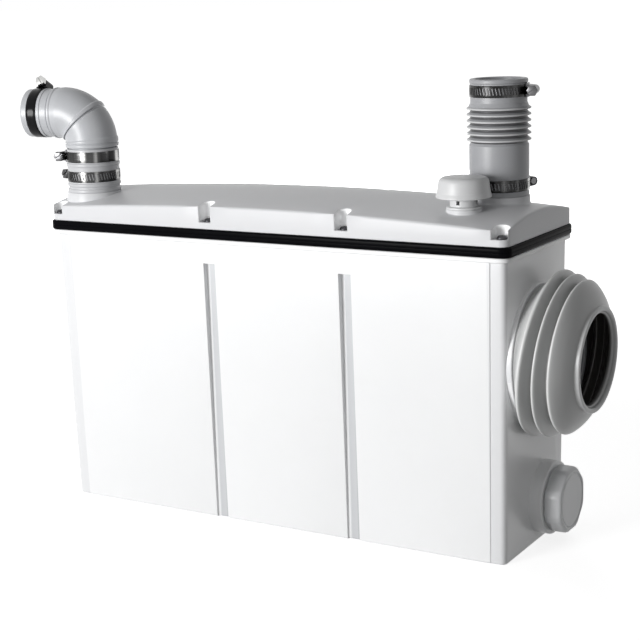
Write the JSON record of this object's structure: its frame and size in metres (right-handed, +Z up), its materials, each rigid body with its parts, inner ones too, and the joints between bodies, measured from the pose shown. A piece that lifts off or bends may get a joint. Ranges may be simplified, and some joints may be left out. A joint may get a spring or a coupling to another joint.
{
  "type": "sewage lifting station",
  "caption": "Slim macerating sewage lifting station: tank with sealed lid, toilet bellows, low and top inlets, vent, discharge elbow, pump and level switch inside.",
  "frame": {"origin": "centre of the tank's underside, on the surface that it stands on", "axes": "+X along the tank towards the toilet inlet, -Y to the front, +Z up"},
  "size_m": [0.5654, 0.144, 0.4091],
  "materials": {
    "tank_white": "moulded, satin",
    "lid_grey": "moulded, satin",
    "seal_black": "glossy",
    "sleeve_rubber": "moulded, satin",
    "bellows_rubber": "moulded, satin",
    "fitting_grey": "moulded, gloss",
    "vent_white": "moulded, satin",
    "cap_grey": "moulded, satin",
    "clamp_steel": "bright stainless strip",
    "clamp_black": "black gloss",
    "screw_steel": "dark zinc",
    "motor_paint": "satin enamel",
    "core_steel": "laminated sheet",
    "winding_copper": "enamelled wire",
    "shaft_steel": "ground",
    "inner_plastic": "moulded, matt",
    "membrane_rubber": "matt",
    "charcoal": "open foam",
    "capacitor_case": "moulded"
  },
  "bodies": {
    "station": {"tank": "tank_white", "lid": "lid_grey", "lid_seal": "seal_black", "lid_screws": "screw_steel", "toilet_bellows": "bellows_rubber", "bellows_retainer": "fitting_grey", "top_inlet_sleeve": "sleeve_rubber", "vent_body": "vent_white", "vent_filter": "charcoal", "discharge_riser": "fitting_grey", "coupling_sleeve": "fitting_grey", "macerator_basket": "inner_plastic", "suction_plate": "inner_plastic", "pump_volute": "inner_plastic", "motor_can": "motor_paint", "motor_cap": "motor_paint", "stator_core": "core_steel", "stator_windings": "winding_copper", "shaft_bearings": "shaft_steel", "shaft_seal": "membrane_rubber", "valve_body": "inner_plastic", "valve_pin": "shaft_steel", "air_bell": "inner_plastic", "dry_box": "inner_plastic", "pressure_switch": "inner_plastic", "diaphragm": "membrane_rubber", "plunger_spring": "shaft_steel", "microswitch": "inner_plastic", "capacitor": "capacitor_case", "capacitor_clip": "shaft_steel", "terminal_block": "inner_plastic", "cable_gland": "inner_plastic", "gland_nut": "inner_plastic", "riser_clamp_band": "clamp_steel", "riser_clamp_housing": "clamp_steel", "elbow_clamp_band": "clamp_steel", "elbow_clamp_housing": "clamp_steel", "sleeve_clamp_band": "clamp_steel", "sleeve_clamp_housing": "clamp_steel", "cuff_clamp_band": "clamp_steel", "cuff_clamp_housing": "clamp_steel"},
    "rotor": {"motor_shaft": "shaft_steel", "rotor_core": "core_steel", "impeller": "inner_plastic", "macerator_blade": "shaft_steel", "blade_nut": "shaft_steel"},
    "flap": {"valve_flap": "inner_plastic"},
    "plunger": {"switch_plunger": "fitting_grey"},
    "vent_lid": {"vent_cap": "vent_white"},
    "cap_travel": {"low_inlet_washer": "membrane_rubber"},
    "screw_cap": {"low_inlet_cap": "cap_grey"},
    "elbow": {"discharge_elbow": "fitting_grey", "outlet_clamp_band": "clamp_black", "outlet_clamp_housing": "clamp_black"},
    "riser_clamp_worm": {"riser_clamp_screw": "screw_steel"},
    "elbow_clamp_worm": {"elbow_clamp_screw": "screw_steel"},
    "outlet_clamp_worm": {"outlet_clamp_screw": "clamp_steel"},
    "sleeve_clamp_worm": {"sleeve_clamp_screw": "screw_steel"},
    "cuff_clamp_worm": {"cuff_clamp_screw": "screw_steel"}
  },
  "joints": [
    {"name": "pump_spin", "type": "hinge", "parent": "station", "child": "rotor", "pos_m": [0.01, 0, 0.1], "axis": [0, 0, 1], "continuous": true},
    {"name": "valve_swing", "type": "hinge", "parent": "station", "child": "flap", "pos_m": [-0.0857, -0.035, 0.093], "axis": [0, 1, 0], "range_deg": [0, 60]},
    {"name": "switch_press", "type": "slide", "parent": "station", "child": "plunger", "axis": [0, 0, 1], "range_m": [0, 0.002], "stiffness_N_per_m": 600, "springref_m": -0.001, "deforming": ["plunger_spring"]},
    {"name": "vent_cap_lift", "type": "slide", "parent": "station", "child": "vent_lid", "axis": [0, 0, 1], "range_m": [0, 0.02]},
    {"name": "cap_travel", "type": "slide", "parent": "station", "child": "cap_travel", "axis": [1, 0, 0], "range_m": [0, 0.0091]},
    {"name": "cap_turn", "type": "hinge", "parent": "cap_travel", "child": "screw_cap", "pos_m": [0.25, 0.018, 0.038], "axis": [1, 0, 0], "range_deg": [0, 1080]},
    {"name": "elbow_swivel", "type": "hinge", "parent": "station", "child": "elbow", "pos_m": [-0.209, -0.035, 0.34], "axis": [0, 0, 1], "range_deg": [-120, 120]},
    {"name": "riser_clamp_turn", "type": "hinge", "parent": "station", "child": "riser_clamp_worm", "pos_m": [-0.23807, -0.02721, 0.314], "axis": [-0.2588, -0.9659, 0], "continuous": true},
    {"name": "elbow_clamp_turn", "type": "hinge", "parent": "station", "child": "elbow_clamp_worm", "pos_m": [-0.23807, -0.04279, 0.3326], "axis": [0.2588, -0.9659, 0], "continuous": true},
    {"name": "outlet_clamp_turn", "type": "hinge", "parent": "elbow", "child": "outlet_clamp_worm", "pos_m": [-0.26188, -0.03393, 0.39883], "axis": [0.1884, -0.8865, 0.4226], "continuous": true},
    {"name": "sleeve_clamp_turn", "type": "hinge", "parent": "station", "child": "sleeve_clamp_worm", "pos_m": [0.2062, 0.04502, 0.3135], "axis": [-0.866, 0.5, 0], "continuous": true},
    {"name": "cuff_clamp_turn", "type": "hinge", "parent": "station", "child": "cuff_clamp_worm", "pos_m": [0.21948, 0.02574, 0.393], "axis": [0.2588, -0.9659, 0], "continuous": true}
  ],
  "couplings": [
    {"joint": "cap_travel", "follows": "cap_turn", "m_per_rad": 0.00047746}
  ]
}
